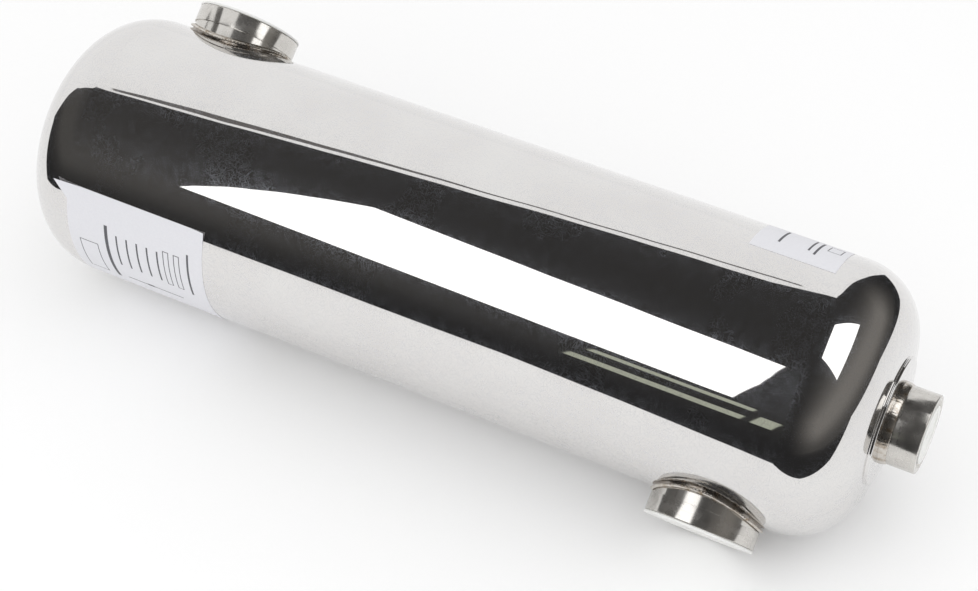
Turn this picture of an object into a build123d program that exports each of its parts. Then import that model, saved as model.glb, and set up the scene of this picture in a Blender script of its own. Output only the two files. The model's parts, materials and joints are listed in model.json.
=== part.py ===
"""A shell and tube heat exchanger of polished stainless steel, lying on its side.

The shell axis runs along X. The origin is on the ground, under the middle of the whole length.
The front side port points down towards -Y, and its cap just clears the ground.
"""

import os
from math import asin, atan2, cos, degrees, hypot, radians, sin, sqrt

from build123d import *

os.makedirs("parts", exist_ok=True)

# Driving dimensions, in millimetres

# Shell: a rolled barrel and two pressed heads
shell_radius = 70.0
shell_wall = 1.2
barrel_length = 392.0
crown_radius = 300.0
crown_margin = 3.0
land_margin = 13.0
land_step = 1.4
land_round = 0.6

# Side ports, 1 1/2 inch pipe sockets on necks pulled from the barrel
side_port_radius = 28.0
side_port_wall = 5.6
side_port_reach = 12.0
side_port_margin = 4.0
side_cap_lift = 1.0
side_foot_reach = 2.9
side_foot_relief = 0.8
neck_reach = 1.4
neck_flare = 1.2
neck_bead_height = 1.2
neck_bead_foot = 0.8
neck_bead_bulge = 1.9
neck_bead_round = 0.5

# End ports, 1 inch pipe sockets on the lands of the heads: the left one is the shorter
end_port_radius = 20.0
end_port_wall = 4.9
left_end_port_reach = 10.0
right_end_port_reach = 18.4
land_bead_height = 4.4
land_bead_foot = 0.9

# Sockets
mouth_round = 0.9
mouth_chamfer = 2.4
bead_depth = 0.8

# Push-in caps: a thin flange covers a side port's mouth, and a plug is nearly flush with an end port's
cap_overhang = 0.15
cap_flange = 1.3
cap_stand = 0.4
cap_round = 0.4
cap_plug_clearance = 0.3
cap_plug_depth = 8.0
cap_rim = 3.0
cap_recess = 0.8

# Tube bundle
tube_radius = 6.0
tube_wall = 0.6
tube_pitch = 17.0
tube_rings = 3
tube_hole_clearance = 0.1
tube_sheet_thickness = 3.0
plate_clearance = 0.2
baffle_thickness = 1.0

# Worked out from the driving dimensions
barrel_half = barrel_length / 2
shell_bore = shell_radius - shell_wall
land_radius = end_port_radius + land_margin
knuckle_radius = shell_radius - land_radius - crown_margin
crown_centre = barrel_half - sqrt(
    (crown_radius - knuckle_radius) ** 2 - (shell_radius - knuckle_radius) ** 2
)
land_height = crown_centre + sqrt(crown_radius**2 - land_radius**2) + land_step
neck_edge = shell_radius + neck_reach
side_port_bore = side_port_radius - side_port_wall
side_foot_radius = side_port_radius - side_foot_relief
side_foot_edge = shell_radius + side_foot_reach
side_port_place = barrel_half - side_port_radius - side_port_margin
side_mouth = shell_radius + side_port_reach
end_port_bore = end_port_radius - end_port_wall
left_end_mouth = land_height + left_end_port_reach
right_end_mouth = land_height + right_end_port_reach
shell_middle = (left_end_mouth - right_end_mouth) / 2

# The shell is rolled this far, until the front cap's rounded rim just clears the ground
rim_radius = side_port_radius + cap_overhang - cap_round
rim_height = side_mouth + cap_flange - cap_round
rim_drop = shell_radius - side_cap_lift - cap_round
roll = asin(rim_drop / hypot(rim_height, rim_radius))
roll -= atan2(rim_radius, rim_height)

# Directions and planes
shell_centre = Vector(shell_middle, 0, shell_radius)
along = Vector(1, 0, 0)
upward = Vector(0, 0, 1)
rear_port_way = Vector(0, cos(roll), sin(roll))
front_port_way = rear_port_way * -1
rear_port_foot = shell_centre - along * side_port_place
front_port_foot = shell_centre + along * side_port_place


def cross_section(x):
    """The plane square to the shell axis, x from its middle: its own X axis points up, Y to the front."""
    return Plane(origin=shell_centre + along * x, x_dir=upward, z_dir=along)


def half_section(foot, way):
    """The plane of a turned profile: X is the radius from the turning axis, Y runs along it."""
    radial = upward if way.Z == way.Y == 0 else along
    return Plane(origin=foot, x_dir=radial, z_dir=radial.cross(way))


def finish(part, name):
    """Names a finished piece and writes it."""
    part.label = name
    export_step(part, f"parts/{name}.step")


def shell_core(radius):
    """A solid cylinder about the shell axis, as long as the barrel."""
    with BuildPart() as core:
        with BuildSketch(cross_section(-barrel_half)):
            Circle(radius)
        extrude(amount=barrel_length)
    return core.part


def reach_from_axis(edge, foot, way):
    """How far the middle of an edge is from an axis."""
    middle = edge @ 0.5 - foot
    return (middle - way * middle.dot(way)).length


# Barrel with a short neck pulled out for each side port: the neck's edge follows the barrel
neck_planes = [
    Plane(origin=rear_port_foot, x_dir=along, z_dir=rear_port_way),
    Plane(origin=front_port_foot, x_dir=along, z_dir=front_port_way),
]

with BuildPart() as shell_barrel:
    for neck_plane in neck_planes:
        with BuildSketch(neck_plane):
            Circle(side_foot_radius)
        extrude(amount=neck_edge)
    add(shell_core(neck_edge), mode=Mode.INTERSECT)
    add(shell_core(shell_radius))
    neck_edges = shell_barrel.edges().filter_by(GeomType.BSPLINE)
    neck_middle = shell_radius + neck_reach / 2
    neck_feet = [edge for edge in neck_edges if reach_from_axis(edge, shell_centre, along) < neck_middle]
    fillet(neck_feet, neck_flare)
    add(shell_core(shell_bore), mode=Mode.SUBTRACT)
    for neck_plane in neck_planes:
        with BuildSketch(neck_plane):
            Circle(side_foot_radius - shell_wall)
        extrude(amount=neck_edge, mode=Mode.SUBTRACT)
finish(shell_barrel.part, "shell_barrel")


# Pressed heads, with a flat land in the middle for the end port
def head_line(inset):
    """The head's profile at a depth under its outer face, from the barrel's edge to the port's hole."""
    knuckle_centre = Vector(shell_radius - knuckle_radius, barrel_half)
    crown_way = Vector(shell_radius - knuckle_radius, barrel_half - crown_centre).normalized()
    tangent_point = knuckle_centre + crown_way * (knuckle_radius - inset)
    half_turn = radians(45) - atan2(crown_way.Y, crown_way.X) / 2
    middle_angle = radians(45) - half_turn
    knuckle_middle = knuckle_centre + Vector(cos(middle_angle), sin(middle_angle)) * (
        knuckle_radius - inset
    )
    step_radius = land_radius - inset
    crown_edge = crown_centre + sqrt((crown_radius - inset) ** 2 - step_radius**2)
    crown_middle_radius = (tangent_point.X + step_radius) / 2
    crown_middle = crown_centre + sqrt((crown_radius - inset) ** 2 - crown_middle_radius**2)
    return [
        (shell_radius - inset, barrel_half),
        knuckle_middle,
        tangent_point,
        (crown_middle_radius, crown_middle),
        (step_radius, crown_edge),
        (step_radius, land_height - inset),
        (end_port_bore, land_height - inset),
    ]


def head(way):
    outer = head_line(0)
    inner = head_line(shell_wall)
    with BuildPart() as pressed_head:
        with BuildSketch(half_section(shell_centre, way)):
            with BuildLine():
                for line in (outer, inner):
                    ThreePointArc(line[0], line[1], line[2])
                    ThreePointArc(line[2], line[3], line[4])
                    Polyline(line[4], line[5], line[6])
                Line(outer[0], inner[0])
                Line(outer[-1], inner[-1])
            make_face()
        revolve(axis=Axis(shell_centre, way))
        land_edges = pressed_head.edges().filter_by(GeomType.CIRCLE).group_by(Axis(shell_centre, way))[-1]
        fillet(land_edges.sort_by(SortBy.RADIUS)[-1], land_round)
    return pressed_head.part


finish(head(along * -1), "left_head")
finish(head(along), "right_head")


# Ports: a turned socket, its weld bead and its cap
def socket_blank(foot, way, radius, bore, base, mouth):
    """A socket before its foot is cut for the weld bead."""
    with BuildPart() as blank:
        with BuildSketch(half_section(foot, way)):
            with BuildLine():
                Polyline(
                    (bore, base),
                    (radius, base),
                    (radius, mouth),
                    (bore + mouth_chamfer, mouth),
                    (bore, mouth - mouth_chamfer),
                    close=True,
                )
            make_face()
        revolve(axis=Axis(foot, way))
        rim = blank.edges().filter_by(GeomType.CIRCLE).group_by(Axis(foot, way))[-1]
        fillet(rim.sort_by(SortBy.RADIUS)[-1], mouth_round)
    return blank.part


def ring(foot, way, inner, outer, base, top):
    """A plain ring about a port's axis."""
    with BuildPart() as plain_ring:
        with BuildSketch(half_section(foot, way)):
            with BuildLine():
                Polyline((inner, base), (outer, base), (outer, top), (inner, top), close=True)
            make_face()
        revolve(axis=Axis(foot, way))
    return plain_ring.part


def land_socket(way, mouth):
    """A socket that stands on the flat land of a head, with a corner cut away for the bead."""
    foot = shell_centre
    radius = end_port_radius
    with BuildPart() as port_socket:
        add(socket_blank(foot, way, radius, end_port_bore, land_height, mouth))
        corner = ring(foot, way, radius - bead_depth, radius, land_height, land_height + land_bead_height)
        add(corner, mode=Mode.SUBTRACT)
    return port_socket.part


def neck_socket(foot, way):
    """A socket with a slightly narrower foot, cut to the neck's edge, and a corner cut away for the bead."""
    with BuildPart() as corner:
        add(ring(foot, way, side_foot_radius - bead_depth, side_foot_radius, 0, side_mouth))
        add(shell_core(neck_edge + neck_bead_height), mode=Mode.INTERSECT)
    with BuildPart() as port_socket:
        add(socket_blank(foot, way, side_port_radius, side_port_bore, 0, side_mouth))
        relief = ring(foot, way, side_foot_radius, side_port_radius, 0, side_foot_edge)
        add(relief, mode=Mode.SUBTRACT)
        add(shell_core(neck_edge), mode=Mode.SUBTRACT)
        add(corner.part, mode=Mode.SUBTRACT)
    return port_socket.part


def neck_bead(foot, way):
    """The bead round a socket that stands on a neck: it fills the socket's corner and laps the neck."""
    inner_radius = side_foot_radius - bead_depth
    outer_radius = side_foot_radius + neck_bead_bulge
    with BuildPart() as bead:
        add(ring(foot, way, inner_radius, outer_radius, 0, side_mouth))
        add(shell_core(neck_edge + neck_bead_height), mode=Mode.INTERSECT)
        add(shell_core(neck_edge - neck_bead_foot), mode=Mode.SUBTRACT)
        bead_edges = bead.edges().filter_by(GeomType.BSPLINE)
        outer_edges = [edge for edge in bead_edges if reach_from_axis(edge, foot, way) > side_foot_radius]
        fillet(outer_edges, neck_bead_round)
        add(shell_barrel.part, mode=Mode.SUBTRACT)
    return bead.part


def land_bead(foot, way, radius, base):
    """The bead round a socket that stands on a flat land: it fills the corner between them."""
    with BuildPart() as bead:
        with BuildSketch(half_section(foot, way)):
            with BuildLine():
                bead_top = (radius, base + land_bead_height)
                bead_toe = (radius + land_bead_foot, base)
                corner_share = 0.6
                bead_face = (radius + corner_share * land_bead_foot, base + corner_share * land_bead_height)
                ThreePointArc(bead_top, bead_face, bead_toe)
                Polyline(
                    bead_toe,
                    (radius - bead_depth, base),
                    (radius - bead_depth, base + land_bead_height),
                    bead_top,
                )
            make_face()
        revolve(axis=Axis(foot, way))
    return bead.part


def side_cap(foot, way, radius, bore, mouth):
    """A plug with a thin flange over the whole mouth, and a shallow recess in its face."""
    flange_radius = radius + cap_overhang
    plug_radius = bore - cap_plug_clearance
    face = mouth + cap_flange
    with BuildPart() as plug:
        with BuildSketch(half_section(foot, way)):
            with BuildLine():
                Polyline(
                    (0, mouth - cap_plug_depth),
                    (plug_radius, mouth - cap_plug_depth),
                    (plug_radius, mouth),
                    (flange_radius, mouth),
                    (flange_radius, face),
                    (plug_radius - cap_rim, face),
                    (plug_radius - cap_rim, face - cap_recess),
                    (0, face - cap_recess),
                    close=True,
                )
            make_face()
        revolve(axis=Axis(foot, way))
        fillet(plug.edges().filter_by(GeomType.CIRCLE).sort_by(SortBy.RADIUS)[-2:], cap_round)
    return plug.part


def end_cap(foot, way, bore, mouth):
    """A plain plug that is nearly flush with the mouth, with a shallow recess in its face."""
    plug_radius = bore - cap_plug_clearance
    face = mouth + cap_stand
    with BuildPart() as plug:
        with BuildSketch(half_section(foot, way)):
            with BuildLine():
                Polyline(
                    (0, mouth - cap_plug_depth),
                    (plug_radius, mouth - cap_plug_depth),
                    (plug_radius, face),
                    (plug_radius - cap_rim, face),
                    (plug_radius - cap_rim, face - cap_recess),
                    (0, face - cap_recess),
                    close=True,
                )
            make_face()
        revolve(axis=Axis(foot, way))
        face_edges = plug.edges().filter_by(GeomType.CIRCLE).group_by(Axis(foot, way))[-1]
        fillet(face_edges, cap_round)
    return plug.part


side_ports = {
    "rear": (rear_port_foot, rear_port_way),
    "front": (front_port_foot, front_port_way),
}
for name, (foot, way) in side_ports.items():
    finish(neck_socket(foot, way), f"{name}_side_port")
    finish(neck_bead(foot, way), f"{name}_side_port_weld")
    finish(side_cap(foot, way, side_port_radius, side_port_bore, side_mouth), f"{name}_side_port_cap")

end_ports = {
    "left": (along * -1, left_end_mouth),
    "right": (along, right_end_mouth),
}
for name, (way, mouth) in end_ports.items():
    finish(land_socket(way, mouth), f"{name}_end_port")
    finish(land_bead(shell_centre, way, end_port_radius, land_height), f"{name}_end_port_weld")
    finish(end_cap(shell_centre, way, end_port_bore, mouth), f"{name}_end_port_cap")


# Tube bundle: straight tubes between two tube sheets, held by segment baffles
tube_row = tube_pitch * sqrt(3) / 2
tube_places = [
    (tube_pitch * (column + row / 2), tube_row * row)
    for row in range(-tube_rings, tube_rings + 1)
    for column in range(-tube_rings, tube_rings + 1)
    if abs(column + row) <= tube_rings
]
tube_hole = tube_radius + tube_hole_clearance
plate_radius = shell_bore - plate_clearance
baffle_edge = tube_row * (tube_rings - 0.5)

with BuildPart() as tube_bundle:
    with BuildSketch(cross_section(-barrel_half)):
        with Locations(*tube_places):
            Circle(tube_radius)
            Circle(tube_radius - tube_wall, mode=Mode.SUBTRACT)
    extrude(amount=barrel_length)
finish(tube_bundle.part, "tube_bundle")

tube_sheet_starts = {"left": -barrel_half, "right": barrel_half - tube_sheet_thickness}
for name, start in tube_sheet_starts.items():
    with BuildPart() as tube_sheet:
        with BuildSketch(cross_section(start)):
            Circle(plate_radius)
            with Locations(*tube_places):
                Circle(tube_hole, mode=Mode.SUBTRACT)
        extrude(amount=tube_sheet_thickness)
    finish(tube_sheet.part, f"{name}_tube_sheet")

# Each baffle leaves a gap for the flow at its front or rear edge, by turns, from the rear port on
baffle_names = ["left", "left_inner", "right_inner", "right"]
baffle_spacing = barrel_length / (len(baffle_names) + 1)
for index, name in enumerate(baffle_names):
    middle = (index + 1) * baffle_spacing - barrel_half
    open_side = 1 if index % 2 == 0 else -1
    with BuildPart() as baffle:
        with BuildSketch(cross_section(middle - baffle_thickness / 2)):
            Circle(plate_radius)
            with Locations((0, open_side * (baffle_edge + shell_radius))):
                Rectangle(2 * shell_radius, 2 * shell_radius, mode=Mode.SUBTRACT)
            with Locations(*tube_places):
                Circle(tube_hole, mode=Mode.SUBTRACT)
        extrude(amount=baffle_thickness)
    finish(baffle.part, f"{name}_baffle")

print("roll of the side ports below the level, in degrees:", round(degrees(roll), 2))
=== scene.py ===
"""A polished shell and tube heat exchanger: its looks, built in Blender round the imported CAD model.

Lengths are in metres in the CAD frame: X along the shell, Z up, the ground at zero.
Sizes that the CAD model holds are read from the frame; the others are properties with defaults.
"""

import json
import math

import bpy
import numpy as np
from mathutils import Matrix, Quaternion, Vector, noise


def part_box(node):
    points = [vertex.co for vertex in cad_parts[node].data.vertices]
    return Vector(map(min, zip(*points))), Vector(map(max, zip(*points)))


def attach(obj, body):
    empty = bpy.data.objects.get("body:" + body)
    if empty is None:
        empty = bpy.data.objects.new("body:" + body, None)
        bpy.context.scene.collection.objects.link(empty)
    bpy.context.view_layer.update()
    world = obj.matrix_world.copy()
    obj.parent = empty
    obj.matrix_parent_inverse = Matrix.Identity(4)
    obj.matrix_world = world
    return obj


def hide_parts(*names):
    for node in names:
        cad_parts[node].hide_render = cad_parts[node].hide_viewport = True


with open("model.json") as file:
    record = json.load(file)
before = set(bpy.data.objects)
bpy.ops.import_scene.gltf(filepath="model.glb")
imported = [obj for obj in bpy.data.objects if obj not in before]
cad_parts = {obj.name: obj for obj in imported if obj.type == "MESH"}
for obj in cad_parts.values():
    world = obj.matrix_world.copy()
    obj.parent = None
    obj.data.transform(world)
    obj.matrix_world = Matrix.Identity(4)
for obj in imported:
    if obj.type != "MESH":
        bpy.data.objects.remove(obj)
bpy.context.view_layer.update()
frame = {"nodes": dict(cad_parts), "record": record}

bl_info = {
    "name": "Shell and Tube Heat Exchanger",
    "version": (1, 0, 0),
    "blender": (4, 5, 0),
    "location": "View3D > Sidebar > Exchanger",
    "description": "Dresses the CAD model of a polished shell and tube heat exchanger",
    "category": "Object",
}

MM = 0.001
BODY = "root"
SKIN_MAP = "skin"


def linear(hex_colour):
    """An sRGB hex colour as linear RGB."""
    channels = [int(hex_colour[i : i + 2], 16) / 255 for i in (1, 3, 5)]
    return tuple(c / 12.92 if c <= 0.04045 else ((c + 0.055) / 1.055) ** 2.4 for c in channels)


# What the frame says about the shell and its ports

ALONG = Vector((1, 0, 0))
BARREL_LOW, BARREL_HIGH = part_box("shell_barrel")
SHELL_RADIUS = BARREL_HIGH.z / 2
BARREL_HALF = (BARREL_HIGH.x - BARREL_LOW.x) / 2
SHELL_CENTRE = Vector((BARREL_LOW.x + BARREL_HALF, 0, SHELL_RADIUS))
SHELL_FOOT = Vector((SHELL_CENTRE.x, 0, 0))
LAND_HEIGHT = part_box("right_head")[1].x - SHELL_CENTRE.x


def span_along(node, way):
    """How far a CAD node reaches from the shell's axis along a direction: its nearest and farthest."""
    reach = [(vertex.co - SHELL_CENTRE).dot(way) for vertex in frame["nodes"][node].data.vertices]
    return min(reach), max(reach)


class Port:
    """A pipe socket of the frame: its axis and radius, its place along the shell, its start and end."""

    # A point this close under the wall's foot still counts as on the wall
    wall_margin = 0.15 * MM

    def __init__(self, mount):
        self.name = mount["name"]
        self.way = Vector(mount["axis"])
        self.on_head = abs(self.way.x) > 0.5
        self.place = 0 if self.on_head else mount["pos_m"][0] - SHELL_CENTRE.x
        self.foot = SHELL_CENTRE + ALONG * self.place
        self.radius = mount["dims"]["r_mm"] * MM
        self.base, self.mouth = span_along(self.name, self.way)
        self.cap_face = span_along(f"{self.name}_cap", self.way)[1]
        middle = (Vector(mount["pos_m"]) - SHELL_CENTRE).dot(self.way)
        self.wall_foot = middle - mount["dims"]["length_mm"] * MM / 2
        if not self.on_head:
            outs = [vertex.co - SHELL_CENTRE for vertex in frame["nodes"][self.name].data.vertices]
            self.base = min(math.hypot(out.y, out.z) for out in outs)

    def height_at(self, radius, height, angle):
        """A point's height along the port's axis: under its wall, a side port's foot follows the barrel."""
        if self.on_head or height > self.wall_foot - self.wall_margin:
            return height
        return math.sqrt(height**2 - (radius * math.sin(angle)) ** 2)


PORTS = [Port(mount) for mount in frame["record"]["mounts"]]
SIDE_PORTS = [port for port in PORTS if not port.on_head]


def length(name, description, millimetres):
    """A length property, given in millimetres."""
    return bpy.props.FloatProperty(
        name=name, description=description, default=millimetres * MM, unit="LENGTH", precision=5
    )


def colour(name, description, hex_colour):
    """A colour property, given as an sRGB hex value."""
    return bpy.props.FloatVectorProperty(
        name=name, description=description, default=linear(hex_colour), subtype="COLOR", min=0, max=1
    )


class ShellSettings(bpy.types.PropertyGroup):
    wall: length("Wall", "Thickness of the sheet", 1.2)
    knuckle_radius: length("Knuckle radius", "Bend between the barrel and the head's crown", 34)
    crown_radius: length("Crown radius", "Dish of the head", 300)
    land_radius: length("Land radius", "Flat round land in the middle of a head", 33)
    land_round: length("Land round", "Rounding of the land's edge", 0.6)
    neck_flare: length("Neck flare", "Rounding where a neck is pulled out of the barrel", 1.2)
    wave_height: length("Wave height", "How far the polished sheet strays from true", 0.05)
    wave_length: length("Wave length", "Distance between the waves of the sheet", 55)
    steel: colour("Polished steel", "Colour of the polished sheet", "#E3E2E0")
    steel_dull: colour("Dull steel", "Colour where polish or handling left a film", "#DAD7D5")
    scratch: colour("Scratches", "Colour of the fine scratches in the polish", "#D3D7E2")


class PortSettings(bpy.types.PropertyGroup):
    side_wall: length("Side socket wall", "Thickness of a side socket", 5.6)
    end_wall: length("End socket wall", "Thickness of an end socket", 4.9)
    mouth_round: length("Mouth round", "Rounding of a socket's rim", 0.6)
    mouth_chamfer: length("Mouth chamfer", "Lead-in of a socket's thread", 2.4)
    toe_groove: length("Toe groove", "Turned line above an end socket's weld", 0.12)
    foot_relief: length("Foot relief", "How much narrower a side socket is at its foot", 0.8)
    neck_bead_height: length("Neck bead height", "Weld bead up a side socket", 1.2)
    neck_bead_foot: length("Neck bead foot", "Weld bead down the neck", 0.8)
    neck_bead_bulge: length("Neck bead bulge", "How far a side socket's weld bead stands out", 1.9)
    land_bead_height: length("Land bead height", "Weld bead up an end socket", 4.4)
    land_bead_foot: length("Land bead foot", "Weld bead on the land", 0.9)
    bead_depth: length("Bead depth", "How far the bead fills the socket's corner", 0.8)
    ripple_pitch: length("Ripple pitch", "Distance between the weld's ripples", 1.7)
    neck_ripple: length("Neck ripple", "Height of the ripples in a side socket's weld", 0.22)
    land_ripple: length("Land ripple", "Height of the ripples in an end socket's weld", 0.05)
    steel: colour("Turned steel", "Colour of the turned sockets", "#DEDBD6")
    weld: colour("Weld", "Colour of the weld beads", "#CFCAC3")
    weld_tint: colour("Weld tint", "Heat tint left on the weld beads", "#9C8A74")


class CapSettings(bpy.types.PropertyGroup):
    overhang: length("Overhang", "How far a side cap's flange stands out past its socket", 0.15)
    flange_round: length("Flange round", "Rounding of a cap's rim", 0.4)
    plug_clearance: length("Plug clearance", "Gap between a plug and its bore", 0.3)
    plug_depth: length("Plug depth", "How far a plug goes in", 8)
    rim: length("Rim", "Width of the rim round a cap's recess", 3)
    recess: length("Recess", "Depth of a cap's recess", 0.8)
    plastic: colour("Polyethylene", "Colour of the caps", "#F1F1EF")
    plastic_shade: colour("Polyethylene shade", "Cloudy patches in the caps", "#E6E6E3")


class StickerSettings(bpy.types.PropertyGroup):
    thickness: length("Thickness", "Paper and glue", 0.14)
    corner_curl: length("Corner curl", "How far the loose corner stands off the shell", 1.6)
    corner_reach: length("Corner reach", "How far the loose corner stands out past the paper's edge", 8)
    paper: colour("Paper", "Colour of the paper", "#E2E2E6")
    paper_shade: colour("Paper shade", "Cloudy patches in the paper", "#D8D8DD")
    ink: colour("Ink", "Colour of the printed rules", "#4A4A4E")


class StageSettings(bpy.types.PropertyGroup):
    lens: bpy.props.FloatProperty(
        name="Lens", description="Focal length on a 36 mm wide sensor", default=79.49, unit="CAMERA"
    )
    distance: length("Distance", "From the camera to the point that it looks at", 1100)
    azimuth: bpy.props.FloatProperty(
        name="Azimuth", description="Camera's turn from the front to the right",
        default=math.radians(27.91), subtype="ANGLE",
    )
    elevation: bpy.props.FloatProperty(
        name="Elevation", description="Camera's height above the level",
        default=math.radians(47.54), subtype="ANGLE",
    )
    roll: bpy.props.FloatProperty(
        name="Roll", description="Camera's turn about its own axis",
        default=math.radians(-1.08), subtype="ANGLE",
    )
    floor: colour("Floor", "Colour of the table top", "#FFFFFF")
    dark: colour("Dark room", "Colour of the unlit room that the steel mirrors", "#232324")
    dark_sides: colour(
        "Dark room's sides", "Colour high up at its sides, where some light gets in", "#7E7B77"
    )
    batten: colour("Batten", "Colour of the batten along the ceiling's edge", "#6A6765")
    window: colour("Windows", "Colour of the dim windows that the steel mirrors", "#B4B8A8")
    ambient: bpy.props.FloatProperty(
        name="Ambient", description="Light from all round on plain surfaces", default=0.95
    )
    floor_glow: bpy.props.FloatProperty(
        name="Floor glow", description="Share of plain white in the table top, where it is seen or mirrored",
        default=0.45, subtype="FACTOR", min=0, max=1,
    )
    softbox: bpy.props.FloatProperty(
        name="Softbox", description="Strength of the two softboxes", default=1.9
    )


# Nodes and materials


def add_node(tree, kind, inputs=None, **settings):
    """Adds a node: settings are its properties, inputs its sockets' values or the sockets that feed them."""
    made = tree.nodes.new(kind)
    for key, value in settings.items():
        setattr(made, key, value)
    for key, value in (inputs or {}).items():
        if isinstance(value, bpy.types.NodeSocket):
            tree.links.new(value, made.inputs[key])
        else:
            made.inputs[key].default_value = value
    return made


def new_material(name):
    """An empty node material."""
    material = bpy.data.materials.new(name)
    material.use_nodes = True
    material.node_tree.nodes.clear()
    return material, material.node_tree


def finish_material(tree, shader):
    """Feeds the surface of a material's output."""
    add_node(tree, "ShaderNodeOutputMaterial", {"Surface": shader})


def skin_place(tree):
    """Places on a piece's unrolled skin, in metres."""
    return add_node(tree, "ShaderNodeUVMap", uv_map=SKIN_MAP).outputs[0]


def body_place(tree):
    """Places in a piece, in metres."""
    return add_node(tree, "ShaderNodeTexCoord").outputs["Object"]


def flat_noise(tree, place, grain, detail):
    """Noise over a skin, with grains of a size in metres."""
    inputs = {"Vector": place, "Scale": 1 / grain, "Detail": detail}
    return add_node(tree, "ShaderNodeTexNoise", inputs, noise_dimensions="2D").outputs["Fac"]


def solid_noise(tree, place, grain, detail, distortion=0):
    """Noise through a body, with grains of a size in metres."""
    inputs = {"Vector": place, "Scale": 1 / grain, "Detail": detail, "Distortion": distortion}
    return add_node(tree, "ShaderNodeTexNoise", inputs).outputs["Fac"]


def ranged(tree, value, low, high, start=0, end=1, curve="LINEAR"):
    """A value carried from start and end over to low and high, and held there past them."""
    inputs = {"Value": value, "From Min": start, "From Max": end, "To Min": low, "To Max": high}
    return add_node(tree, "ShaderNodeMapRange", inputs, interpolation_type=curve).outputs[0]


def combined(tree, operation, first, second):
    """Two values put through a Math node."""
    return add_node(tree, "ShaderNodeMath", {0: first, 1: second}, operation=operation).outputs[0]


def toned(tree, share, first, second):
    """A colour between two."""
    inputs = {0: share, 6: (*first, 1), 7: (*second, 1)}
    return add_node(tree, "ShaderNodeMix", inputs, data_type="RGBA").outputs[2]


def bumped(tree, height, strength, distance):
    """A normal leaned by a height."""
    inputs = {"Height": height, "Strength": strength, "Distance": distance}
    return add_node(tree, "ShaderNodeBump", inputs).outputs[0]


def metal(tree, tone, rough, **more):
    """A metal's surface."""
    inputs = {"Base Color": tone, "Metallic": 1, "Roughness": rough, **more}
    return add_node(tree, "ShaderNodeBsdfPrincipled", inputs).outputs[0]


def glow(tree, tone, strength=1):
    """A surface that gives light."""
    return add_node(tree, "ShaderNodeEmission", {"Color": tone, "Strength": strength}).outputs[0]


def mixed(tree, share, first, second):
    """One surface mixed into another by a share."""
    return add_node(tree, "ShaderNodeMixShader", {0: share, 1: first, 2: second}).outputs[0]


def seen_or_mirrored(tree):
    """1 for rays from the camera, straight, by a reflection or through something clear, otherwise 0."""
    path = add_node(tree, "ShaderNodeLightPath").outputs
    seen = combined(tree, "MAXIMUM", path["Is Camera Ray"], path["Is Glossy Ray"])
    return combined(tree, "MAXIMUM", seen, path["Is Transmission Ray"])


def hairlines(tree, skin, size, angles, amount):
    """Fine straight scratches laid at several angles: a mask of 1 on a scratch. size is (long, wide)."""
    mask = 0
    for index, angle in enumerate(angles):
        turned_skin = add_node(
            tree, "ShaderNodeMapping",
            {
                "Vector": skin,
                "Location": (0.013 * index, 0.031 * index, 0),
                "Rotation": (0, 0, math.radians(angle)),
                "Scale": (size[0], size[1], 1),
            },
            vector_type="TEXTURE",
        )
        streaks = add_node(
            tree, "ShaderNodeTexNoise",
            {"Vector": turned_skin.outputs[0], "Scale": 1, "Detail": 1, "Roughness": 0.4},
            noise_dimensions="2D",
        )
        lines = ranged(tree, streaks.outputs["Fac"], 0, 1, amount, amount + 0.06)
        mask = combined(tree, "MAXIMUM", mask, lines)
    return mask


def polished_stainless(settings):
    """Stainless sheet, buffed to a mirror: crisp reflections, under fine wiping scratches at all angles.

    The scratches catch light from well beside a mirrored lamp, and as a cool grey, because they are so fine.
    """
    material, tree = new_material("stainless_sheet_mirror_buffed")
    skin = skin_place(tree)
    film = flat_noise(tree, skin, 40 * MM, 3)
    # A real wiping scratch is a few hundredths wide; these are drawn a fifth of a millimetre wide, to show
    scratches = hairlines(tree, skin, (8 * MM, 0.2 * MM), (8, 41, 77, 112, 149), 0.66)
    share = combined(tree, "MULTIPLY", scratches, ranged(tree, film, 0.18, 0.3, 0.3, 0.7))
    tone = toned(tree, film, settings.steel, settings.steel_dull)
    mirror = metal(tree, tone, ranged(tree, film, 0.01, 0.03))
    wiped = metal(tree, (*settings.scratch, 1), 0.28)
    finish_material(tree, mixed(tree, share, mirror, wiped))
    return material


def turned_stainless(settings):
    """Stainless bar, turned and buffed: fine rings draw its reflections out, and a haze lifts its darks."""
    material, tree = new_material("stainless_bar_turned_buffed")
    skin = skin_place(tree)
    rings = add_node(
        tree, "ShaderNodeMapping", {"Vector": skin, "Scale": (60 * MM, 0.3 * MM, 1)}, vector_type="TEXTURE"
    )
    marks = flat_noise(tree, rings.outputs[0], 1, 2)
    blotches = flat_noise(tree, skin, 7 * MM, 3)
    tone = toned(tree, marks, settings.steel, tuple(0.86 * c for c in settings.steel))
    lean = bumped(tree, marks, 0.15, 0.02 * MM)
    buffed = metal(tree, tone, ranged(tree, blotches, 0.08, 0.2), Normal=lean)
    haze = metal(tree, tone, 0.55)
    finish_material(tree, mixed(tree, ranged(tree, blotches, 0.12, 0.32, 0.3, 0.7), buffed, haze))
    return material


def welded_stainless(settings):
    """Stainless weld, brushed after welding: bright crests, with straw-brown heat tint in the hollows."""
    material, tree = new_material("stainless_weld_as_run")
    tint = flat_noise(tree, skin_place(tree), 3.5 * MM, 4)
    tone = toned(tree, ranged(tree, tint, 0, 1, 0.45, 0.8), settings.weld, settings.weld_tint)
    finish_material(tree, metal(tree, tone, ranged(tree, tint, 0.14, 0.34)))
    return material


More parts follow.
